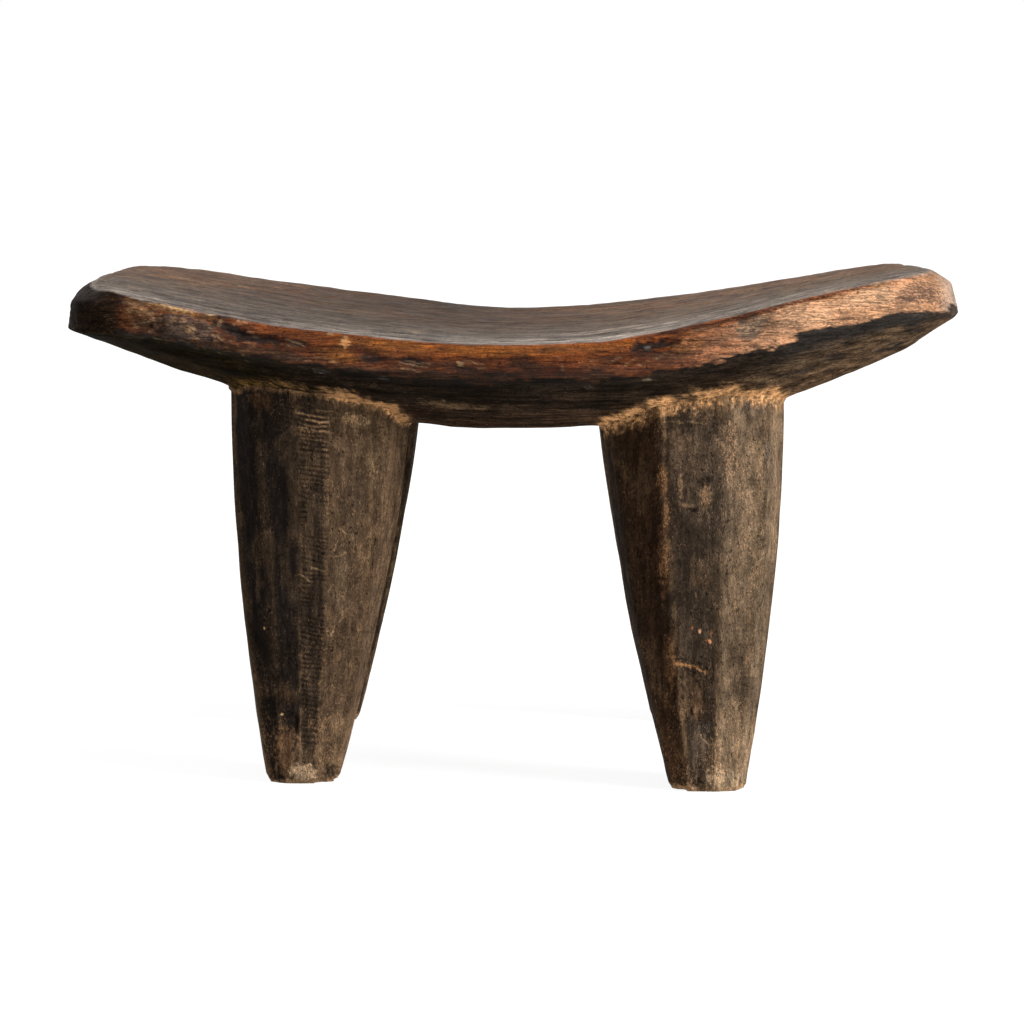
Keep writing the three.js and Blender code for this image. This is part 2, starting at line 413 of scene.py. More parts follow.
# Marks of wear on the seat's rear, in the form of FRONT_MARKS.
REAR_MARKS = [
    ((-178, 0.35), (16, 0.3), (0.11, 0.046, 0.018), 0.75, 0.3),
    ((-120, 0.55), (14, 0.2), (0.012, 0.008, 0.006), 0.85, -1.4),
    ((-96, 0.25), (22, 0.12), (0.15, 0.058, 0.018), 0.75, 0.2),
    ((-40, 0.65), (18, 0.14), (0.016, 0.01, 0.007), 0.8, -0.5),
    ((-22, 0.3), (4, 0.16), (0.26, 0.15, 0.075), 0.8, 0.4),
    ((28, 0.22), (34, 0.12), (0.14, 0.05, 0.015), 0.75, 0.2),
    ((70, 0.6), (11, 0.24), (0.12, 0.07, 0.038), 0.75, 0.3),
    ((118, 0.4), (26, 0.08), (0.014, 0.01, 0.007), 0.85, -0.9),
    ((150, 0.45), (17, 0.34), (0.2, 0.098, 0.05), 0.75, 0.3),
    ((188, 0.6), (10, 0.24), (0.09, 0.06, 0.042), 0.7, 0.2),
]


def seat_form():
    """The plain seat: each point's place x, y and z in the drawn form, its t, and the softened
    points and their quads."""
    u, v, down, quads = box_grid(*SEAT_GRID)
    x, y = plan_point(u, v, down)
    ring = np.maximum(np.abs(u), np.abs(v))
    z = side_height(x, y, down)
    across = 1 - (y / (SEAT_HALF_DEPTH - LEVELS[0, 1])) ** 2
    along = 1 - (x / (SEAT_HALF_LENGTH - LEVELS[0, 0])) ** 2
    is_top = down == 0
    z = np.where(is_top, z - CROSS_HOLLOW * np.maximum(across, 0) * np.maximum(along, 0), z)
    points = np.stack([x, y, z], axis=1)

    # t is below 0 on the dish and above 2 on the underside.
    t = np.where(down < EDGE_FOOT, down / EDGE_FOOT, 1 + (down - EDGE_FOOT) / (1 - EDGE_FOOT))
    t = np.where(is_top, -(1 - ring) * 8, t)
    t = np.where(down == 1, 2 + (1 - ring) * 8, t)

    # Blunt ends, and a rear rim a little prouder than in the drawn form.
    points[:, 2] += 1.2 * smooth(20, 110, y) * smooth(1.2, 0.8, t)
    points[:, 2] -= 4.0 * smooth(-188, -226, x) * bump(t, 1.0, 0.7)
    points[:, 2] -= 3.5 * smooth(196, 228, x) * bump(t, 1.0, 0.6)
    points[:, 0] += 2.0 * smooth(196, 228, x) * bump(t, 0.5, 0.8)
    points[:, 0] -= 2.5 * smooth(-196, -228, x) * bump(t, 0.35, 0.5)
    return x, y, z, t, relax(points, quads, SEAT_SOFTENING), quads


def seat_piece():
    x, y, z, t, points, quads = seat_form()
    normals = vertex_normals(points, quads)
    on_edge = smooth(-0.3, 0.1, t) * smooth(1.3, 0.9, t)
    on_bevel = smooth(0.9, 1.2, t)
    on_top = smooth(0.1, -0.1, t)
    front = smooth(-60, -95, y) * (1 - on_top)
    rear = smooth(60, 95, y) * (1 - on_top)
    left_end = smooth(-90, -170, x)
    ragged = 0.30 * layered(points, (9, 9, 4), 15) + 0.50 * layered(points, (3.0, 3, 1.6), 17, 2)

    # Relief in mm: an uneven side, a chipped edge face, hollows left by the adze, and grain.
    lift = 0.7 * layered(points, (52, 40, 15), 21) * (1 - on_top)
    lift += 0.9 * layered(points, (26, 26, 9), 31, 2) * on_edge * (0.25 + 0.75 * left_end)
    lift += 0.9 * (scoops(points, (40, 24, 30), 41) - 0.4) * on_bevel
    lift += 0.35 * (scoops(points, (26, 17, 60), 51) - 0.4) * on_top
    lift += (0.25 * layered(points, (30, 5, 8), 61) + 0.12 * layered(points, (9, 7, 8), 63, 2)) * on_top
    lift += 0.18 * layered(points, (12, 4, 3.0), 71, 2) * (0.4 + 0.6 * on_edge)
    eroded = on_edge * front * smooth(-124, -140, x) * smooth(-205, -196, x)
    lift += 0.8 * layered(points, (5, 4, 2.4), 77, 2) * eroded

    paint = Paint(len(points), UMBER)
    mottle = layered(points, (24, 18, 9), 81)
    streak = layered(points, (26, 5, 2.6), 91)
    speck = layered(points, (5, 3, 2.2), 95, 2)
    right = smooth(70, 150, x) * front

    # The dish: a painted grey sheen along the front over worn wood, brown in the middle, redder
    # towards the rear.
    band = layered(points, (120, 9, 9), 97, 3)
    clump = layered(points, (15, 9, 9), 99, 2)
    rim_near = smooth(blend(-75, -15, smooth(-150, 20, x)), -104, y)
    paint.layer(GREY_BROWN, on_top)
    paint.layer(BROWN, on_top * smooth(-0.5, 0.5, 0.2 * mottle + band) * smooth(-100, 30, y) * 0.9)
    redness = smooth(-0.6, 0.8, 0.3 * mottle + band + 0.5 * smooth(0, -200, x))
    paint.layer(DISH_RED, on_top * redness * smooth(-20, 100, y) * 0.8)
    # Painted sheen: pale grey along the front of the dish, over worn wood.
    sheen_and_rubbing = on_top * rim_near * smooth(-0.8, 0.2, band) * blend(1, 0.5, smooth(40, 120, x))
    paint.layer(GREY * 1.2, sheen_and_rubbing * 0.8)
    paint.layer(GREY, on_top * smooth(0.3, 0.9, band) * 0.35)
    paint.layer(UMBER, on_top * smooth(0.45, 0.9, -band + 0.2 * speck) * 0.35)
    torn = on_top * smooth(0.25, 0.55, layered(points, (16, 5, 8), 73, 2)) * smooth(-30, -80, y)
    paint.layer(UMBER, torn * 0.65)
    lift -= 0.4 * torn

    # The edge face: red-brown with an amber upper strip, copper at its right end.
    jagged = 0.10 * mottle + 0.05 * streak + 0.05 * speck
    foot = 1.0 + jagged - 0.16 * smooth(138, 150, x) * front
    edge_band = smooth(-0.04, 0.01, t) * smooth(0.03, -0.02, t - foot)
    upper = smooth(0.60, 0.30, t + 0.15 * streak)
    paint.layer(RED_BROWN, edge_band)
    paint.layer(UMBER, edge_band * smooth(0.0, 0.6, mottle + 0.4 * ragged) * 0.55 * (1 - right))
    paint.layer(AMBER, edge_band * upper * smooth(-150, -90, x) * 0.9)
    paint.layer(UMBER, edge_band * smooth(0.72, 0.95, t + 0.1 * mottle) * smooth(90, 40, x) * 0.55)
    paint.layer(COPPER, edge_band * right * smooth(0.02, 0.2, t + 0.1 * streak))
    paint.layer(COPPER * 0.6, edge_band * smooth(200, 214, x) * 0.8)
    paint.layer(UMBER * 0.6, edge_band * smooth(-185, -196, x) * smooth(0.5, 0.1, t) * front * 0.8)
    paint.layer(GREY * 1.4, edge_band * smooth(214, 224, x) * 0.6 * smooth(-60, -90, y))
    right_face = edge_band * smooth(206, 220, x) * smooth(-95, -60, y)
    paint.layer(BROWN * 1.6, right_face * smooth(-0.6, 0.4, streak))
    paint.layer(UMBER * 0.42, edge_band * smooth(-194, -203, x) * blend(0.65, 1, front))

    wear = 0.08 + 0.06 * edge_band + 0.50 * edge_band * right

    # The bevel is painted near black just below the edge face, blackened wood with painted shade under
    # the edge, and dark brown further down.
    below = t - foot
    bevel_soot_and_shade = smooth(-0.02, 0.02, below) * smooth(1.0, 0.55, t - 0.9 + 0.2 * mottle)
    paint.layer(SOOT_AND_SHADE, bevel_soot_and_shade * blend(1, 0.25, smooth(204, 218, x)))
    paint.layer(GREY * 0.15, bevel_soot_and_shade * smooth(120, 150, x) * smooth(216, 206, x) * 0.6)
    paint.layer(UMBER, smooth(1.35, 1.7, t + 0.2 * mottle) * smooth(-0.4, 0.3, streak) * 0.9)
    tail = on_bevel * smooth(60, 190, x) * smooth(0.22, 0.40, below + 0.05 * mottle)
    paint.layer(BROWN * 1.05, tail * smooth(-1.0, 0.4, streak + 0.4 * mottle) * 0.9)

    for marks, side in ((FRONT_MARKS, front), (REAR_MARKS, rear)):
        for place, size, colour, strength, relief in marks:
            mask = spot(x, t, place, size, ragged) * side
            mask *= smooth(0.05, -0.02, below) if place[1] < 1 else 1
            paint.layer(colour, mask * strength)
            wear = np.maximum(wear, mask * strength * (colour[0] > 0.14))
            lift += relief * spot(x, t, place, size, 0.4 * ragged) * side
    paint.layer(TAN, eroded * smooth(0.30, 0.55, ragged + 0.3 * speck) * 0.6)
    wobble = noise(points, (7, 7, 7), 79)
    for start, end, width, colour, strength in FRONT_STROKES:
        side_start = (start[0], start[1] * SIDE_HEIGHT)
        side_end = (end[0], end[1] * SIDE_HEIGHT)
        mask = stroke(x, t * SIDE_HEIGHT + wobble, side_start, side_end, width, ragged) * front * strength
        paint.layer(colour, mask)
        lift -= 0.35 * mask

    # Golden fibres and a small fillet where the legs grow out of the underside.
    for name, leg in LEGS.items():
        cx, cy, _, _ = leg_section(leg, z)
        distance = np.hypot(x - cx, y - cy) - leg_radius(leg, np.arctan2(y - cy, x - cx), z)
        near = on_bevel * smooth(7, 2, distance + 4 * ragged) * (distance > -12)
        if name == "leg_front_left":
            near *= blend(0.45, 1.0, smooth(-104, -80, x))
        if "rear" in name:
            near *= 0.6 * smooth(-0.4, 0.5, mottle)
        paint.layer(GOLD * 0.75, near * smooth(-0.7, 0.1, speck + mottle) * 0.85)
        wear = np.maximum(wear, 0.9 * near)
        lift += 1.6 * on_bevel * np.exp(-np.maximum(distance, 0) / 3.5) * (distance > -12)

    # The rim is painted pale at both ends: worn wood and a painted highlight along the rim.
    ends = np.maximum(smooth(-120, -205, x), 0.6 * smooth(150, 215, x))
    paint.layer(GREY * 1.3, smooth(0.07, 0.02, np.abs(t)) * 0.8 * ends)
    # Painted light: the bevel is painted lighter towards the right.
    paint.shade(1 + on_bevel * (0.6 * smooth(-15, 10, x) + 0.25 * smooth(45, 65, x) + 0.3 * bump(x, 75, 22)))
    # The edge face is darker at its right tip and in its lower middle.
    paint.shade(1 - 0.25 * smooth(196, 214, x) * front * on_edge)
    paint.shade(1 - 0.28 * on_edge * front * smooth(0.45, 0.65, t) * smooth(45, 15, x) * smooth(-75, -55, x))
    # Painted shade: the bevel is painted darker and less blue at the left end.
    paint.shade(1 - 0.45 * on_bevel * smooth(-120, -160, x))
    paint.colours[:, 2] *= 1 - 0.45 * on_bevel * smooth(-90, -150, x)
    paint.shade(1 + blend(0.20 * streak + 0.20 * speck, 0.16 * band + 0.20 * clump + 0.06 * speck, on_top))
    # Painted shade and painted light on the dish: darker in the middle towards the rear and a little left of
    # the middle, and lighter towards the right end than at the left.
    dish_painted_shade = 1 - 0.36 * bump(x, -10, 110) * smooth(-50, 50, y) - 0.18 * bump(x, -75, 70)
    paint.shade(blend(1, dish_painted_shade * blend(0.80, 1.28, smooth(-120, 130, x)), on_top))
    # The rear of the dish is warmer in colour.
    warmth = blend(1, np.array([0.83, 0.67]), (on_top * smooth(-60, 60, y))[:, None])
    paint.colours[:, 1:] *= warmth

    points = points + normals * lift[:, None]
    gloss = 0.18 - 0.14 * on_bevel
    gloss += on_edge * blend(-0.12, 0.14, smooth(-205, -190, x))
    return make_mesh("seat_carved", points, quads, paint.colours, {"gloss": gloss, "wear": wear})


# ---- Legs ----

FRONT_LEG_GRID = (220, 420)
REAR_LEG_GRID = (180, 300)
LEG_CAP_RINGS = 8
LEG_CROWDING = 0.45
LEG_TAPER_HEIGHT = 215
LEG_TAPER_POWER = 1.65
LEG_SQUARENESS = 2.8
LEG_BURIED = 4
LEG_CRISPNESS = 120
CHATTER_SPACING = 2.5
MARK_SLOPE = 0.16

# For each leg: middle and half sizes (mm) under the seat and at the foot, the ridges between its
# facets (degrees, -90 is the front) and how the ridges turn towards the foot (degrees, power).
# One leg's golden fibres reach further down than the others', and its foot is worn paler.
LEGS = {
    "leg_front_left": {
        "top": (-99, -66, 50, 41),
        "foot": (-111, -78, 20.5, 17),
        "ridges": [-160, -134, -108, -85, -51, -18, 27, 62, 112, 157],
        "turn": (16, 0.8),
    },
    "leg_front_right": {
        "top": (94, -65, 50, 41),
        "foot": (102.5, -96, 21.5, 19),
        "ridges": [-168, -145, -112, -71, -42, -14, 22, 60, 118, 156],
        "turn": (-8, 1),
        "gold_reach": 2.4,
        "foot_wear": 0.6,
    },
    "leg_rear_left": {
        "top": (-98, 66, 49.7, 40),
        "foot": (-107.5, 84, 19, 18),
        "ridges": [-154, -118, -62, -24, 19, 48, 81, 110, 139, 166],
        "turn": (8, 2),
    },
    "leg_rear_right": {
        "top": (94, 65, 48.5, 40),
        "foot": (101, 88, 20.5, 18),
        "ridges": [-158, -120, -65, -26, 16, 43, 72, 104, 131, 160],
        "turn": (-6, 2),
    },
}

# The colour of each facet: the numbers of its two ridges, and its colour. On the front legs the
# left-facing facets are painted dark and the right-facing ones light, partly the wood's own tone and
# partly painted shade and painted light from the lamp on the right. On the rear left leg, facets
# (1, 2) and (2, 3) are painted near black as a painted shadow of the front leg.
LEG_FACETS = {
    "leg_front_left": [
        (9, 0, (0.0095, 0.0067, 0.0046)),
        (0, 1, (0.008, 0.0056, 0.0042)),
        (1, 2, (0.0125, 0.009, 0.0068)),
        (2, 3, (0.0265, 0.0175, 0.0112)),
        (3, 4, (0.057, 0.035, 0.0198)),
        (4, 5, (0.06, 0.0365, 0.0205)),
    ],
    "leg_front_right": [
        (9, 0, (0.019, 0.011, 0.007)),
        (0, 1, (0.021, 0.0115, 0.0065)),
        (1, 2, (0.025, 0.0122, 0.0062)),
        (2, 3, (0.03, 0.02, 0.013)),
        (3, 4, (0.093, 0.0615, 0.0372)),
        (4, 5, (0.09, 0.06, 0.036)),
    ],
    "leg_rear_left": [
        # Painted shadow of the front leg on these two facets.
        (1, 2, (0.01, 0.0072, 0.005)),
        (2, 3, (0.01, 0.0072, 0.005)),
        (5, 6, (0.033, 0.0234, 0.0164)),
        (6, 7, (0.0727, 0.0468, 0.0279)),
        (8, 9, (0.0388, 0.0252, 0.0164)),
    ],
    "leg_rear_right": [
        (5, 6, (0.0873, 0.0576, 0.0344)),
        (6, 7, (0.0369, 0.0252, 0.0172)),
        (8, 9, (0.0679, 0.0396, 0.023)),
    ],
}

# Marks on the outward side of each leg: place (x, z), half sizes (x, z), colour, strength and how
# far the wood stands out there. Lengths are in mm.
LEG_MARKS = {
    "leg_front_left": [
        ((-130, 203), (6, 5), (0.06, 0.03, 0.014), 0.6, 0.0),
        ((-81, 194), (8, 3), (0.13, 0.085, 0.046), 0.6, 0.2),
        ((-71, 169), (4, 10), (0.095, 0.062, 0.035), 0.5, 0.0),
        ((-82, 150), (5, 16), (0.038, 0.025, 0.016), 0.5, -0.2),
        ((-88, 110), (4, 20), (0.076, 0.05, 0.029), 0.5, 0.0),
        ((-130, 84), (0.6, 0.6), (0.26, 0.18, 0.09), 0.9, 0.2),
        ((-121, 38), (0.6, 0.6), (0.26, 0.18, 0.09), 0.9, 0.2),
        ((-119, 50), (4, 6), (0.046, 0.026, 0.013), 0.6, 0.0),
        ((-113.5, 33), (1.2, 4), (0.01, 0.007, 0.005), 0.9, -0.9),
        ((-119, 17), (6, 12), (0.08, 0.043, 0.022), 0.8, 0.2),
        ((-109, 6), (6, 4.5), (0.18, 0.125, 0.078), 0.7, 0.2),
        ((-94, 5), (4, 4), (0.012, 0.008, 0.006), 0.8, -1.6),
    ],
    "leg_front_right": [
        ((85, 201), (14, 3), (0.03, 0.023, 0.018), 0.9, -0.5),
        ((93, 176), (13, 15), (0.066, 0.043, 0.027), 0.8, 0.0),
        ((112, 177), (5, 17), (0.09, 0.058, 0.035), 0.7, 0.0),
        ((86, 184), (7, 4), (0.1, 0.062, 0.036), 0.5, 0.0),
        ((94, 80), (9, 16), (0.05, 0.034, 0.022), 0.7, 0.0),
        ((97, 28), (5, 16), (0.045, 0.032, 0.022), 0.7, 0.0),
        ((123, 202), (10, 5), (0.05, 0.039, 0.03), 0.7, -0.3),
        ((108, 150), (7, 40), (0.042, 0.03, 0.021), 0.5, 0.0),
        ((124, 130), (6, 34), (0.125, 0.084, 0.051), 0.4, 0.0),
        ((133, 176), (2, 8), (0.05, 0.038, 0.028), 0.6, 0.0),
        ((77, 163), (2.6, 8), (0.1, 0.05, 0.023), 0.6, 0.1),
        ((78, 130), (2.4, 26), (0.085, 0.042, 0.019), 0.6, 0.2),
        ((96, 152), (6, 8), (0.056, 0.039, 0.025), 0.6, 0.0),
        ((86.3, 158), (1.3, 8), (0.14, 0.085, 0.047), 0.55, 0.2),
        ((100, 155), (2.6, 5.5), (0.14, 0.085, 0.047), 0.6, 0.3),
        ((90, 150.5), (3.5, 1.3), (0.12, 0.075, 0.042), 0.3, 0.1),
        ((93.5, 147.5), (2.6, 1.2), (0.012, 0.008, 0.006), 0.9, -0.6),
        ((97, 85), (0.9, 1.0), (0.23, 0.125, 0.072), 0.9, 0.3),
        ((102, 79.5), (1.3, 1.1), (0.21, 0.09, 0.04), 0.9, 0.3),
        ((93, 86.5), (0.7, 0.8), (0.2, 0.08, 0.04), 0.7, 0.1),
        ((103, 84), (0.6, 1.4), (0.18, 0.075, 0.036), 0.6, 0.1),
        ((93, 52), (6, 12), (0.078, 0.046, 0.026), 0.7, -0.7),
        ((97, 44), (4, 6), (0.09, 0.052, 0.029), 0.5, 0.0),
        ((81.5, 66), (2.4, 14), (0.1, 0.05, 0.022), 0.6, 0.0),
        ((101, 33), (4, 5), (0.026, 0.02, 0.015), 0.8, -0.4),
        ((110, 8), (8, 6), (0.15, 0.108, 0.066), 0.6, 0.0),
        ((96, 4), (3, 3), (0.02, 0.013, 0.01), 0.7, -1.2),
    ],
    "leg_rear_left": [
        ((-112, 180), (3, 12), (0.11, 0.07, 0.038), 0.7, 0.1),
        ((-92, 160), (6, 14), (0.022, 0.015, 0.01), 0.6, -0.3),
        ((-118, 120), (2, 18), (0.105, 0.064, 0.034), 0.6, 0.1),
        ((-98, 102), (9, 1.2), (0.17, 0.098, 0.048), 0.8, 0.2),
        ((-98, 105), (8, 0.9), (0.012, 0.008, 0.006), 0.9, -0.7),
        ((-86, 70), (3, 12), (0.09, 0.056, 0.03), 0.6, 0.0),
        ((-112, 40), (4, 7), (0.12, 0.072, 0.036), 0.7, 0.1),
        ((-104, 22), (1.0, 9), (0.01, 0.007, 0.005), 0.9, -0.8),
        ((-96, 6), (5, 4), (0.15, 0.09, 0.046), 0.7, 0.2),
    ],
    "leg_rear_right": [
        ((80, 184), (9, 4), (0.12, 0.074, 0.04), 0.6, 0.1),
        ((112, 170), (4, 14), (0.026, 0.018, 0.012), 0.6, -0.3),
        ((92, 142), (2.5, 20), (0.11, 0.066, 0.034), 0.6, 0.1),
        ((104, 118), (2.0, 2.2), (0.2, 0.11, 0.05), 0.8, 0.3),
        ((86, 96), (4, 10), (0.02, 0.014, 0.01), 0.6, -0.3),
        ((100, 74), (1.0, 16), (0.01, 0.007, 0.005), 0.9, -0.9),
        ((108, 52), (5, 8), (0.105, 0.064, 0.034), 0.7, 0.1),
        ((94, 30), (6, 1.2), (0.16, 0.092, 0.045), 0.7, 0.2),
        ((104, 6), (6, 3), (0.15, 0.092, 0.048), 0.7, 0.2),
    ],
}

# Scratches on the front legs, and a painted shadow and highlight at a step: from and to (x, z),
# half width (mm), colour and strength.
LEG_STROKES = {
    "leg_front_left": [
        ((-112, 197.5), (-104, 196.5), 0.52, PALE, 0.54),
        ((-107, 194.5), (-94, 192.5), 0.52, PALE, 0.54),
        ((-101, 199), (-91, 198), 0.45, PALE, 0.48),
        ((-110, 190), (-100, 188.6), 0.45, PALE, 0.48),
        ((-99, 188.4), (-91, 187.4), 0.45, PALE, 0.41),
        ((-104, 184), (-94, 182.6), 0.38, PALE, 0.34),
        ((-89, 137.7), (-85.5, 134.3), 0.45, PALE, 0.54),
        ((-91.6, 125), (-89, 130.7), 0.45, PALE, 0.54),
        ((-91.6, 121.6), (-86, 124.4), 0.45, PALE, 0.54),
        ((-104, 117), (-97, 114.7), 0.52, PALE, 0.61),
        ((-109.5, 112.4), (-104, 109), 0.45, PALE, 0.54),
        ((-95, 103.3), (-92.8, 108), 0.45, PALE, 0.48),
        ((-89, 87), (-87, 93), 0.45, PALE, 0.48),
        ((-94, 80.4), (-91.6, 85), 0.45, PALE, 0.48),
        ((-101, 55.2), (-99.3, 57.4), 0.45, PALE, 0.54),
        ((-80, 142), (-78, 136), 0.45, PALE, 0.34),
        ((-76, 118), (-78, 108), 0.45, PALE, 0.27),
        ((-84, 66), (-83, 58), 0.45, PALE, 0.27),
        ((-56, 158), (-63, 100), 0.75, (0.13, 0.085, 0.048), 0.41),
        ((-69, 182), (-66, 150), 0.6, (0.12, 0.078, 0.044), 0.34),
    ],
    "leg_front_right": [
        ((77, 193.2), (88, 192.8), 0.45, PALE, 0.54),
        ((91, 193), (100, 192.4), 0.45, PALE, 0.48),
        ((95.5, 157), (99.5, 153.5), 0.4, PALE, 0.45),
        ((98.5, 151.5), (103, 154), 0.4, PALE, 0.45),
        ((87.5, 150.5), (93, 149.3), 0.4, PALE, 0.45),
        # A step in the wood: the two dark lines, higher up, are a painted shadow under the step, and the two
        # orange lines just below them are bare wood with a painted highlight.
        ((85.1, 67.4), (94.5, 66.5), 0.95, (0.24, 0.12, 0.05), 0.95),
        ((94.5, 66.5), (101.2, 62.7), 0.95, (0.24, 0.12, 0.05), 0.95),
        ((84, 70), (95, 69), 0.6, BLACK, 0.61),
        ((95, 69), (101.2, 65.4), 0.6, BLACK, 0.61),
        ((101.5, 80), (101, 60), 0.45, BLACK, 0.54),
        ((104, 14), (112, 10.5), 0.45, PALE, 0.48),
        ((108, 18), (115, 13), 0.45, PALE, 0.41),
        ((98, 30), (103, 24), 0.45, PALE, 0.41),
        ((106, 34), (109, 26), 0.45, PALE, 0.34),
        ((116.2, 99), (116.6, 94), 0.45, PALE, 0.48),
        ((95.3, 104), (95.6, 101), 0.45, PALE, 0.48),
        ((118, 60), (116, 48), 0.45, BLACK, 0.34),
        ((131, 98), (127, 94), 0.6, BLACK, 0.54),
    ],
}


def leg_ridges(leg, z):
    """The angle (degrees) of each ridge at heights z, one row for each height."""
    amount, power = leg["turn"]
    turned = amount * (1 - np.clip(z / LEG_TAPER_HEIGHT, 0, 1)) ** power
    return np.array(leg["ridges"]) + turned[:, None]


def leg_section(leg, z):
    """Centre and half sizes of a leg at heights z."""
    rise = np.clip(z / LEG_TAPER_HEIGHT, 0, 1)
    swell = 1 - (1 - rise) ** LEG_TAPER_POWER
    centre_x = blend(leg["foot"][0], leg["top"][0], rise)
    centre_y = blend(leg["foot"][1], leg["top"][1], rise)
    half_x = blend(leg["foot"][2], leg["top"][2], swell)
    half_y = blend(leg["foot"][3], leg["top"][3], swell)
    return centre_x, centre_y, half_x, half_y


def leg_radius(leg, angle, z):
    """Distance from the leg's axis to its faceted surface. Facets are the chords between ridges."""
    _, _, half_x, half_y = leg_section(leg, z)
    ridge = np.radians(leg_ridges(leg, z))
    n = LEG_SQUARENESS
    reach = (np.abs(np.cos(ridge)) ** n + np.abs(np.sin(ridge)) ** n) ** (-1 / n)
    corner_x = half_x[:, None] * (reach * np.cos(ridge))
    corner_y = half_y[:, None] * (reach * np.sin(ridge))
    next_x = np.roll(corner_x, -1, axis=1)
    next_y = np.roll(corner_y, -1, axis=1)
    normal_x = next_y - corner_y
    normal_y = corner_x - next_x
    length = np.hypot(normal_x, normal_y)
    facing = (normal_x * np.cos(angle)[:, None] + normal_y * np.sin(angle)[:, None]) / length
    distance = (normal_x * corner_x + normal_y * corner_y) / length
    closeness = np.maximum(facing, 0) / distance
    return np.sum(closeness ** LEG_CRISPNESS, axis=1) ** (-1 / LEG_CRISPNESS)


def tube_grid(around, rows, cap_rings):
    """A capped tube as quads. Returns the turn (0 to 1), the row (0 to 1), the ring and the quads.
    ring is 1 on the wall and shrinks to 0 at the middle of a cap."""
    turn = np.arange(around) / around
    cap = np.arange(cap_rings) / cap_rings
    ring = np.concatenate([cap, np.ones(rows + 1), cap[::-1]])
    level = np.concatenate([np.zeros(cap_rings), np.linspace(0, 1, rows + 1), np.ones(cap_rings)])
    ring = np.maximum(ring, 0.02)
    layers = len(ring)
    index = np.arange(layers * around).reshape(layers, around)
    here = index[:-1]
    above = index[1:]
    quads = np.stack([here, np.roll(here, -1, 1), np.roll(above, -1, 1), above], axis=-1).reshape(-1, 4)
    return np.tile(turn, layers), np.repeat(level, around), np.repeat(ring, around), quads


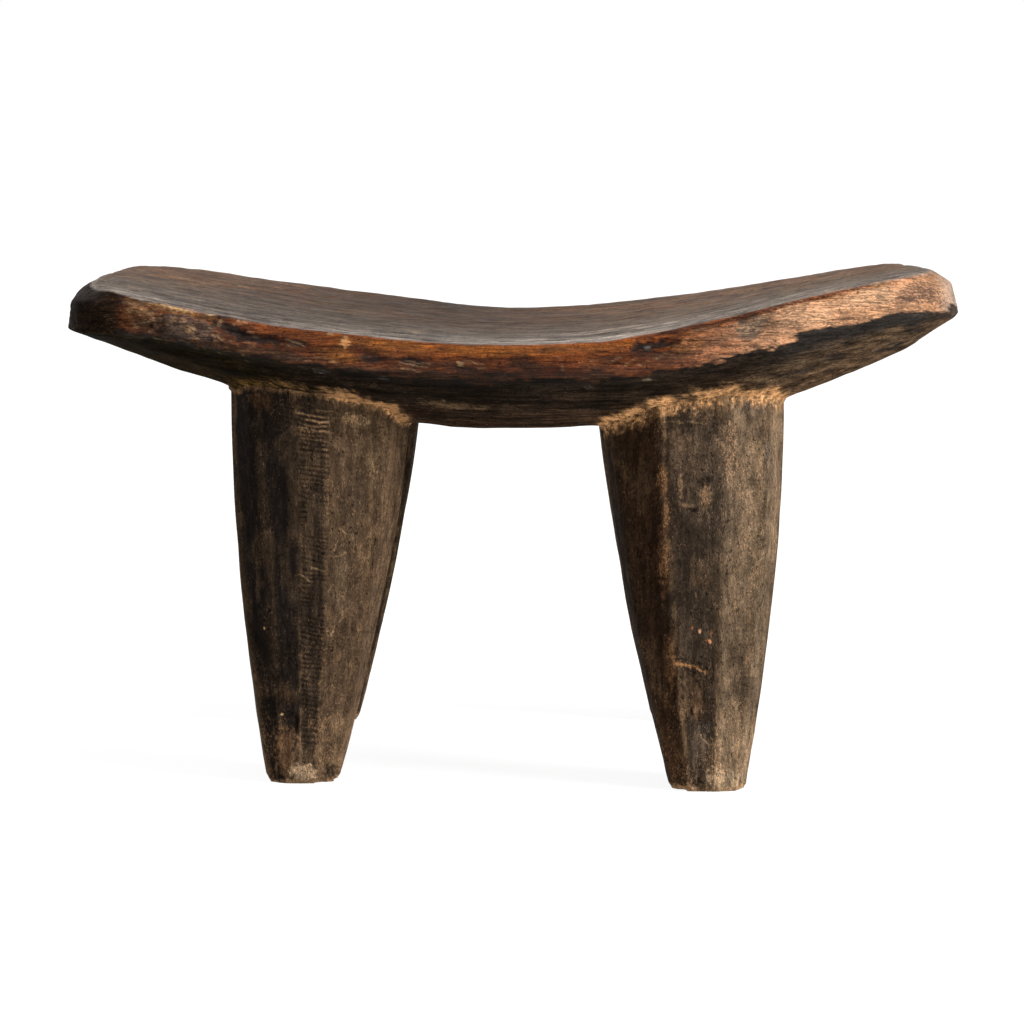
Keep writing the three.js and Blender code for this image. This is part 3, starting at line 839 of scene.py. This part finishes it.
def leg_piece(name):
    leg = LEGS[name]
    is_front = "front" in name
    turn, level, ring, quads = tube_grid(*(FRONT_LEG_GRID if is_front else REAR_LEG_GRID), LEG_CAP_RINGS)
    # The columns of points stand closer together on the leg's outward side.
    angle = turn * 2 * math.pi
    angle = angle + (-LEG_CROWDING if is_front else LEG_CROWDING) * np.cos(angle)
    top_z = np.full(len(turn), float(LEG_TAPER_HEIGHT))
    for _ in range(4):
        cx, cy, _, _ = leg_section(leg, top_z)
        reach = leg_radius(leg, angle, top_z)
        top_z = underside_height(cx + reach * np.cos(angle), cy + reach * np.sin(angle)) + LEG_BURIED
    z = level * top_z
    cx, cy, _, _ = leg_section(leg, z)
    reach = leg_radius(leg, angle, z)
    below = np.maximum(top_z - LEG_BURIED - z, 0)
    points = np.stack([cx + reach * np.cos(angle), cy + reach * np.sin(angle), z], axis=1)
    x = points[:, 0]
    mottle = layered(points, (20, 20, 30), 151)
    speck = layered(points, (4, 4, 7), 155, 2)
    ridges = leg_ridges(leg, z)
    degrees = np.degrees(np.arctan2(np.sin(angle), np.cos(angle)))
    outward = -degrees if is_front else degrees
    outward = smooth(4, 20, outward) * smooth(178, 165, outward)

    def facet(first, last, blur=2.5):
        """1 on the facet between two ridges, fading out across them."""
        start = degrees - ridges[:, first] + 0.5 * blur * mottle
        end = degrees - ridges[:, last] + 0.5 * blur * mottle
        return smooth(-blur, blur, start) * smooth(blur, -blur, end)

    # Relief in mm: long shallow adze strokes, fine scraping down the length, chatter where the blade
    # jumped, a ledge below the seat and a worn foot.
    ragged = 0.3 * layered(points, (7, 7, 9), 111) + 0.5 * layered(points, (2.0, 2.0, 2.4), 113, 2)
    striae = layered(points, (3.4, 3.4, 60), 115, 2)
    chatter = 0.12 + 0.88 * facet(2, 3) * (name == "leg_front_left")
    chatter *= smooth(0, 12, z) * smooth(4, 16, below)
    chatter *= smooth(-1.0, -0.1, layered(points, (14, 14, 16), 117, 2))
    step = (z + MARK_SLOPE * x + 1.3 * noise(points, (14, 14, 7), 119)) / CHATTER_SPACING
    groove = 1 - np.abs(2 * (step - np.floor(step)) - 1)
    depth = 0.6 + 0.4 * JITTER[np.floor(step).astype(int) % 1024, 0]
    chatter *= depth * smooth(-1.3, -0.2, layered(points, (5, 5, 3), 123, 2))
    ledge = smooth(4.2, 1.2, below + 2.0 * ragged)
    lift = 0.40 * layered(points, (34, 34, 60), 121, 2)
    lift += 0.30 * (scoops(points, (16, 16, 60), 131) - 0.4)
    lift += 0.14 * striae
    lift -= 0.48 * chatter * groove ** 2
    lift += 1.4 * ledge - 1.2 * is_front
    lift -= 0.9 * smooth(2.5, 0, z)
    lift -= 1.5 * smooth(9, 1, z) * smooth(0.15, 0.6, layered(points, (12, 12, 14), 125, 2))

    paint = Paint(len(points), BROWN * 0.8)
    wear = 0.22 + 0.40 * smooth(60, 15, z) * smooth(-0.6, 0.5, mottle)
    # Facet colours, partly painted shade on left-facing facets and painted light on right-facing ones.
    for first, last, colour in LEG_FACETS[name]:
        blur = 2.0 if name == "leg_front_left" and last > 2 else 7.0
        paint.layer(colour, facet(first, last, blur) * (1.0 if is_front else 0.8))
    paint.layer(SOOT_AND_SHADE, smooth(0.15, 0.6, mottle + 0.3 * speck) * 0.40)
    paint.layer(TAN * 0.5, smooth(0.2, 0.7, -mottle + 0.3 * striae) * 0.22)
    # Ridges painted paler: worn wood and a painted highlight, left out on the left-facing side of the front
    # legs.
    nearest = np.min(np.abs(degrees[:, None] - ridges), axis=1)
    sheen_and_rubbing = smooth(3.2, 0.8, nearest) * smooth(-0.25, 0.35, striae + speck)
    sheen_and_rubbing *= 1 - 0.85 * is_front * smooth(-115, -130, degrees)
    paint.layer(TAN * 0.6, sheen_and_rubbing * 0.35)
    paint.layer(SOOT_AND_SHADE, chatter * smooth(0.35, 0.85, groove))
    crest = chatter * smooth(0.5, 0.15, groove)
    paint.layer(TAN * 0.8, crest * smooth(182, 194, z) * smooth(-0.3, 0.5, speck + ragged) * 0.5)
    wear = np.maximum(wear, crest * blend(0.40, 0.7, smooth(165, 188, z)))
    for place, size, colour, strength, relief in LEG_MARKS[name]:
        slanted = z + MARK_SLOPE * (x - place[0])
        distance = np.hypot((x - place[0]) / size[0], (slanted - place[1]) / size[1])
        mask = smooth(1.35, 0.65, distance + ragged) * outward
        paint.layer(colour, mask * strength)
        wear = np.maximum(wear, mask * strength * (colour[0] > 0.08))
        lift += relief * mask
    wobble = noise(points, (6, 6, 6), 129)
    for start, end, width, colour, strength in LEG_STROKES.get(name, ()):
        mask = stroke(x + wobble, z - wobble, start, end, width, ragged) * outward * strength
        paint.layer(colour, mask)
        lift -= 0.25 * mask
    gold = smooth(4.0, 1.4, below / leg.get("gold_reach", 1.2) + 2.2 * ragged)
    grit = layered(points, (1.5, 1.5, 1.8), 127, 2)
    gold *= blend(0.30, 0.9, smooth(-0.4, 0.4, 0.5 * mottle + 0.5 * speck + grit))
    if name == "leg_front_left":
        gold *= blend(0.40, 1.1, smooth(-104, -84, x))
    if not is_front:
        gold *= 0.7
    paint.layer(GOLD, gold)
    paint.layer(TAN, smooth(3.5, 1, z + 3 * ragged) * 0.5)
    # Painted light: the right-facing facets of the front legs are painted lighter towards the top. The feet
    # are worn paler.
    painted_light = smooth(-100, -50, degrees) * is_front
    paint.shade(1 + 0.25 * painted_light * smooth(120, 185, z) + smooth(52, 20, z) * leg.get("foot_wear", 0.35))
    paint.shade(1 + 0.22 * striae + 0.18 * speck)

    reach = reach + lift
    points[:, 0] = cx + ring * reach * np.cos(angle)
    points[:, 1] = cy + ring * reach * np.sin(angle)
    values = {"gloss": np.full(len(points), 0.08), "wear": np.maximum(wear, 0.9 * gold)}
    return make_mesh(name + "_carved", points, quads, paint.colours, values)


# ---- Wood material ----

class Nodes:
    """Makes shader nodes in one tree and links them by their sockets."""

    def __init__(self, tree):
        self.tree = tree

    def add(self, kind, **settings):
        node = self.tree.nodes.new(kind)
        for key, value in settings.items():
            setattr(node, key, value)
        return node

    def link(self, source, target):
        self.tree.links.new(source, target)

    def maths(self, operation, a, b=None, clamp=False):
        node = self.add("ShaderNodeMath", operation=operation, use_clamp=clamp)
        for socket, value in zip(node.inputs, (a, b)):
            if isinstance(value, (int, float)):
                socket.default_value = value
            elif value is not None:
                self.link(value, socket)
        return node.outputs[0]

    def plus(self, a, b):
        return self.maths("ADD", a, b)

    def minus(self, a, b):
        return self.maths("SUBTRACT", a, b)

    def times(self, a, b):
        return self.maths("MULTIPLY", a, b)

    def off_middle(self, value):
        """How far a pattern is from its middle value of 0.5."""
        return self.maths("ABSOLUTE", self.minus(value, 0.5))

    def ramp(self, value, low, high, to_low=0.0, to_high=1.0):
        node = self.add("ShaderNodeMapRange", interpolation_type="SMOOTHSTEP")
        self.link(value, node.inputs["Value"])
        node.inputs["From Min"].default_value = low
        node.inputs["From Max"].default_value = high
        node.inputs["To Min"].default_value = to_low
        node.inputs["To Max"].default_value = to_high
        return node.outputs["Result"]

    def attribute(self, name):
        return self.add("ShaderNodeAttribute", attribute_name=name)

    def grain(self, scale, size, detail=4.0, roughness=0.6):
        """Noise over the object's own coordinates, stretched by scale along each axis."""
        coordinates = self.add("ShaderNodeTexCoord").outputs["Object"]
        mapping = self.add("ShaderNodeMapping")
        mapping.inputs["Scale"].default_value = scale
        self.link(coordinates, mapping.inputs["Vector"])
        texture = self.add("ShaderNodeTexNoise", noise_dimensions="3D")
        texture.inputs["Scale"].default_value = size
        texture.inputs["Detail"].default_value = detail
        texture.inputs["Roughness"].default_value = roughness
        self.link(mapping.outputs["Vector"], texture.inputs["Vector"])
        return texture.outputs["Fac"]

    def tint(self, mode, factor, colour_a, colour_b):
        node = self.add("ShaderNodeMix", data_type="RGBA", blend_type=mode)
        if isinstance(factor, (int, float)):
            node.inputs["Factor"].default_value = factor
        else:
            self.link(factor, node.inputs["Factor"])
        for key, colour in (("A", colour_a), ("B", colour_b)):
            socket = [s for s in node.inputs if s.name == key and s.type == "RGBA"][0]
            if isinstance(colour, tuple):
                socket.default_value = (*colour, 1)
            else:
                self.link(colour, socket)
        return [s for s in node.outputs if s.type == "RGBA"][0]


BARE_WOOD = (0.30, 0.165, 0.075)
RUBBED_GAIN = (2.8, 2.6, 2.4)
RELIEF_STRENGTH = 0.6
RELIEF_METRES = 0.0009


def wood_material(name, stretch, contrast):
    """Old wood coloured by the mesh's paint. stretch draws the fibres out along one axis."""
    material = bpy.data.materials.new(name)
    material.use_nodes = True
    tree = material.node_tree
    tree.nodes.clear()
    nodes = Nodes(tree)
    output = nodes.add("ShaderNodeOutputMaterial")
    shader = nodes.add("ShaderNodeBsdfPrincipled")
    nodes.link(shader.outputs[0], output.inputs["Surface"])

    paint = nodes.attribute("paint").outputs["Color"]
    gloss = nodes.attribute("gloss").outputs["Fac"]
    wear = nodes.attribute("wear").outputs["Fac"]
    fibre = nodes.grain(stretch, 1100, 6, 0.7)
    fine = nodes.grain([blend(k, 1, 0.3) for k in stretch], 1900, 4, 0.7)
    coarse = nodes.grain([blend(k, 1, 0.2) for k in stretch], 170, 5, 0.65)
    blotch = nodes.grain([blend(k, 1, 0.4) for k in stretch], 90, 6, 0.66)
    pitting = nodes.grain((1, 1, 1), 520, 3, 0.6)
    curl = nodes.grain([blend(k, 1, 0.4) for k in stretch], 230, 2, 0.5)
    split = nodes.grain([k ** 1.7 for k in stretch], 260, 3, 0.5)
    figure = nodes.grain([k ** 1.8 for k in stretch], 420, 4, 0.6)

    # Light and dark fibres, blotches, small black pits and cracks that run with the grain.
    tone = 1.0
    patterns = (
        (fibre, 0.12, 0.45),
        (fine, 0.12, 0.40),
        (coarse, 0.20, 0.30),
        (blotch, 0.14, 0.26),
        (figure, 0.12, 0.40),
    )
    for pattern, reach, depth in patterns:
        swing = depth * contrast
        part = nodes.ramp(pattern, 0.5 - reach, 0.5 + reach, 1 - swing, 1 + swing)
        tone = nodes.times(part, tone)
    crack = nodes.ramp(nodes.off_middle(split), 0.014, 0.004)
    crack = nodes.times(crack, nodes.ramp(coarse, 0.45, 0.52))
    holes = nodes.maths("MAXIMUM", nodes.ramp(pitting, 0.39, 0.31), crack)
    tone = nodes.times(tone, nodes.minus(1.0, nodes.times(holes, 0.75)))
    calm = nodes.minus(1.0, nodes.times(wear, 0.55))
    tone = nodes.maths("POWER", tone, calm)
    grey = nodes.add("ShaderNodeCombineColor")
    for socket in grey.inputs:
        nodes.link(tone, socket)
    colour = nodes.tint("MULTIPLY", 1.0, paint, grey.outputs[0])

    # Pale fibres where the finish has rubbed off, more of them where wear is high, and scratches.
    strands = nodes.times(nodes.plus(fibre, fine), 0.5)
    strands = nodes.plus(strands, nodes.times(wear, 0.19))
    strands = nodes.plus(strands, nodes.times(blotch, 0.3))
    bare = nodes.ramp(strands, 0.77, 0.83)
    line = nodes.ramp(nodes.off_middle(curl), 0.016, 0.006)
    scratch = nodes.times(line, nodes.ramp(blotch, 0.54, 0.58))
    scratch = nodes.times(scratch, nodes.ramp(wear, 0.1, 0.6))
    scuff = nodes.maths("MAXIMUM", bare, scratch)
    pale = nodes.tint("MIX", 0.3, nodes.tint("MULTIPLY", 1.0, paint, RUBBED_GAIN), BARE_WOOD)
    colour = nodes.tint("MIX", nodes.times(scuff, 0.8), colour, pale)
    nodes.link(colour, shader.inputs["Base Color"])

    rough = nodes.minus(0.82, nodes.times(gloss, 0.5))
    rough = nodes.maths("ADD", rough, nodes.ramp(coarse, 0.35, 0.65, -0.08, 0.1), clamp=True)
    nodes.link(rough, shader.inputs["Roughness"])
    nodes.link(nodes.times(gloss, 0.3), shader.inputs["Specular IOR Level"])

    height = nodes.plus(nodes.plus(fibre, fine), nodes.times(coarse, 1.5))
    height = nodes.plus(height, figure)
    height = nodes.minus(height, nodes.times(holes, 1.5))
    relief = nodes.add("ShaderNodeBump")
    relief.inputs["Strength"].default_value = RELIEF_STRENGTH
    relief.inputs["Distance"].default_value = RELIEF_METRES
    nodes.link(height, relief.inputs["Height"])
    nodes.link(relief.outputs["Normal"], shader.inputs["Normal"])
    return material


# ---- Studio ----

# Lengths are metres here. The lens is given for a sensor 36 mm wide.
CAMERA_PLACE = (0, -1.835, 0.383)
CAMERA_TILT_DOWN = 7.8
CAMERA_LENS = 118.65
FLOOR_HALF_SIZE = 30

# Each lamp: azimuth from the front towards the right, elevation, strength and angular size.
SUNS = {
    "key": (72, 27, 8.0, 24),
    "overhead": (0, 90, 1.0, 90),
    "back": (-150, 30, 2.5, 60),
}


def make_camera():
    data = bpy.data.cameras.new("camera")
    data.sensor_width = 36
    data.lens = CAMERA_LENS
    data.clip_end = 100
    camera = add_object("camera", data)
    camera.location = CAMERA_PLACE
    camera.rotation_euler = (math.radians(90 - CAMERA_TILT_DOWN), 0, 0)
    bpy.context.scene.camera = camera


def make_floor():
    size = FLOOR_HALF_SIZE
    mesh = bpy.data.meshes.new("floor")
    corners = [(-size, -size, 0), (size, -size, 0), (size, size, 0), (-size, size, 0)]
    mesh.from_pydata(corners, [], [(0, 1, 2, 3)])
    floor = add_object("floor", mesh)
    material = bpy.data.materials.new("floor_white")
    material.use_nodes = True
    shader = material.node_tree.nodes["Principled BSDF"]
    shader.inputs["Base Color"].default_value = (0.12, 0.12, 0.12, 1)
    shader.inputs["Emission Color"].default_value = (1, 1, 1, 1)
    shader.inputs["Emission Strength"].default_value = 0.9
    shader.inputs["Roughness"].default_value = 1
    shader.inputs["Specular IOR Level"].default_value = 0
    mesh.materials.append(material)


def make_sun(name, azimuth, elevation, strength, spread):
    data = bpy.data.lights.new(name, "SUN")
    data.energy = strength
    data.angle = math.radians(spread)
    lamp = add_object(name, data)
    lamp.rotation_euler = (math.radians(90 - elevation), 0, math.radians(azimuth))


def make_world():
    """White below and near the horizon, and a dim sky that is a little brighter on the right."""
    world = bpy.data.worlds.new("studio")
    bpy.context.scene.world = world
    world.use_nodes = True
    tree = world.node_tree
    tree.nodes.clear()
    nodes = Nodes(tree)
    output = nodes.add("ShaderNodeOutputWorld")
    background = nodes.add("ShaderNodeBackground")
    background.inputs["Color"].default_value = (1, 1, 1, 1)
    nodes.link(background.outputs[0], output.inputs["Surface"])
    direction = nodes.add("ShaderNodeTexCoord").outputs["Generated"]
    split = nodes.add("ShaderNodeSeparateXYZ")
    nodes.link(direction, split.inputs[0])
    sky = nodes.ramp(split.outputs["X"], -1, 1, 0.1, 0.35)
    low = nodes.ramp(split.outputs["Z"], 0.2, 0.32)
    strength = nodes.add("ShaderNodeMix", data_type="FLOAT")
    nodes.link(low, strength.inputs[0])
    strength.inputs[2].default_value = 1.0
    nodes.link(sky, strength.inputs[3])
    nodes.link(strength.outputs[0], background.inputs["Strength"])


make_camera()
make_floor()
make_world()
for sun_name, sun in SUNS.items():
    make_sun(sun_name, *sun)
bpy.context.scene.view_settings.view_transform = "Standard"

wood_seat = wood_material("seat_wood", (0.12, 1, 1), 0.9)
wood_leg = wood_material("leg_wood", (1, 1, 0.5), 0.62)

seat = seat_piece()
seat.data.materials.append(wood_seat)
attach(seat, "root")
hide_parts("seat")

for leg_name in LEGS:
    leg_object = leg_piece(leg_name)
    leg_object.data.materials.append(wood_leg)
    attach(leg_object, "root")
    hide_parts(leg_name)
